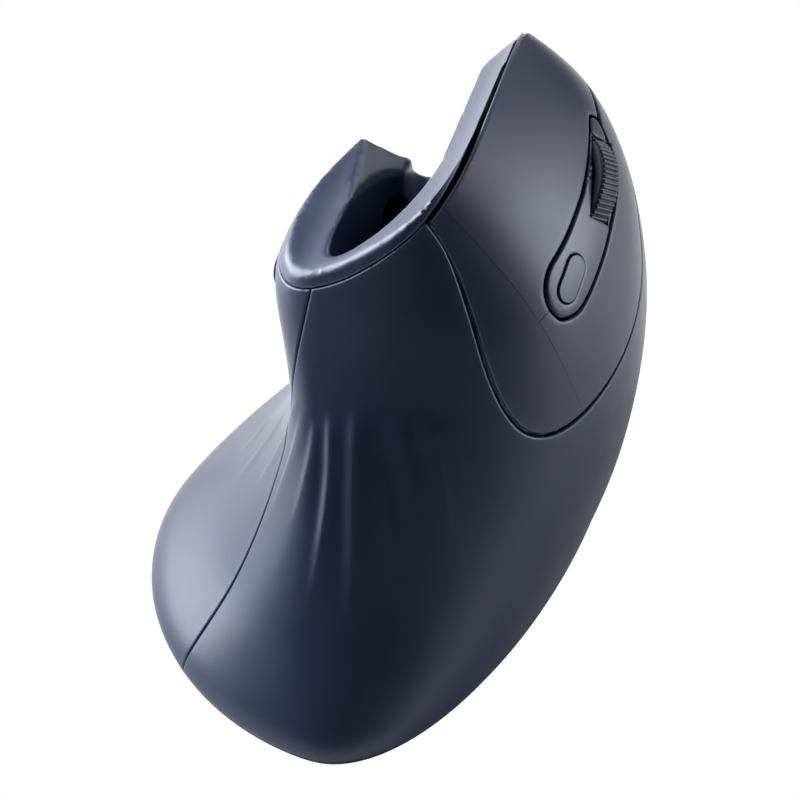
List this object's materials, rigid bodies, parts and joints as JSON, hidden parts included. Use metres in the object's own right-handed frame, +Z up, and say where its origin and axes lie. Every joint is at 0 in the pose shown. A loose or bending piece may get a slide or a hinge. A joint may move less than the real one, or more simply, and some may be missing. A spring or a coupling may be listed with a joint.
{
  "type": "upright computer mouse",
  "caption": "Right-handed upright computer mouse with a flared pleated skirt, open saddle-shaped top, finger panel with scroll wheel, and thumb keys.",
  "frame": {"origin": "centre of the overall box at floor level, on the undersides of the feet", "axes": "+X towards the finger panel, +Y forwards, away from the wrist, +Z up"},
  "size_m": [0.0726, 0.1158, 0.0838],
  "materials": {
    "soft_shell": "soft-touch matte",
    "rim_shell": "soft-touch matte",
    "button_skin": "soft-touch matte",
    "black_gloss": "polished black",
    "strip_skin": "fine matte",
    "key_skin": "satin",
    "wheel_rubber": "ribbed",
    "wheel_core": "satin",
    "base_black": "fine texture",
    "glide": "slick",
    "board_green": "coated laminate",
    "chip_black": "moulded",
    "switch_black": "moulded",
    "nylon_white": "moulded",
    "steel": "plated",
    "cell_foil": "foil",
    "clear_lens": "clear",
    "cable_amber": "film"
  },
  "bodies": {
    "housing": {"palm_shell": "soft_shell", "thumb_shell": "soft_shell", "rim_saddle": "rim_shell", "button_cover": "button_skin", "button_frame": "black_gloss", "centre_strip": "strip_skin", "finger_board": "board_green", "left_microswitch": "switch_black", "right_microswitch": "switch_black", "mode_switch": "switch_black", "thumb_board": "board_green", "back_switch": "switch_black", "forward_switch": "switch_black", "base_plate": "base_black", "front_glide": "glide", "rear_glide": "glide", "sensor_glide": "glide", "sensor_lens": "clear_lens", "sensor_chip": "chip_black", "power_switch": "switch_black", "main_board": "board_green", "radio_chip": "chip_black", "battery_cell": "cell_foil", "charging_socket": "steel", "flex_cable": "cable_amber", "base_screws": "steel", "board_screws": "steel", "finger_screws": "steel"},
    "left_button": {"left_button": "button_skin"},
    "right_button": {"right_button": "button_skin"},
    "mode_key": {"mode_key": "key_skin"},
    "back_key": {"back_key": "key_skin"},
    "forward_key": {"forward_key": "key_skin"},
    "wheel_carrier": {"wheel_carrier": "nylon_white", "wheel_encoder": "switch_black"},
    "scroll_wheel": {"wheel_hub": "wheel_core", "wheel_tyre": "wheel_rubber"},
    "power_slider": {"power_slider": "key_skin"}
  },
  "joints": [
    {"name": "left_click", "type": "hinge", "parent": "housing", "child": "left_button", "pos_m": [0.01038, -0.002, 0.07278], "axis": [-0.6, 0, 0.8], "range_deg": [0, 0.6], "stiffness_Nm_per_rad": 1.2},
    {"name": "right_click", "type": "hinge", "parent": "housing", "child": "right_button", "pos_m": [0.0241, -0.002, 0.05557], "axis": [-0.6, 0, 0.8], "range_deg": [0, 0.6], "stiffness_Nm_per_rad": 1.2},
    {"name": "mode_press", "type": "slide", "parent": "housing", "child": "mode_key", "axis": [-0.8426, 0.2245, -0.4895], "range_m": [0, 0.0004], "stiffness_N_per_m": 400, "springref_m": -0.0002},
    {"name": "back_press", "type": "slide", "parent": "housing", "child": "back_key", "axis": [1, 0, 0], "range_m": [0, 0.0004], "stiffness_N_per_m": 400, "springref_m": -0.0002},
    {"name": "forward_press", "type": "slide", "parent": "housing", "child": "forward_key", "axis": [1, 0, 0], "range_m": [0, 0.0004], "stiffness_N_per_m": 400, "springref_m": -0.0002},
    {"name": "wheel_click", "type": "slide", "parent": "housing", "child": "wheel_carrier", "axis": [-0.8247, -0.013, -0.5653], "range_m": [0, 0.0004], "stiffness_N_per_m": 600, "springref_m": -0.0002},
    {"name": "wheel_turn", "type": "hinge", "parent": "wheel_carrier", "child": "scroll_wheel", "pos_m": [0.01828, 0.02489, 0.06029], "axis": [-0.4793, -0.5146, 0.711], "continuous": true},
    {"name": "power_slide", "type": "slide", "parent": "housing", "child": "power_slider", "axis": [0, 1, 0], "range_m": [-0.0015, 0.0015]}
  ]
}
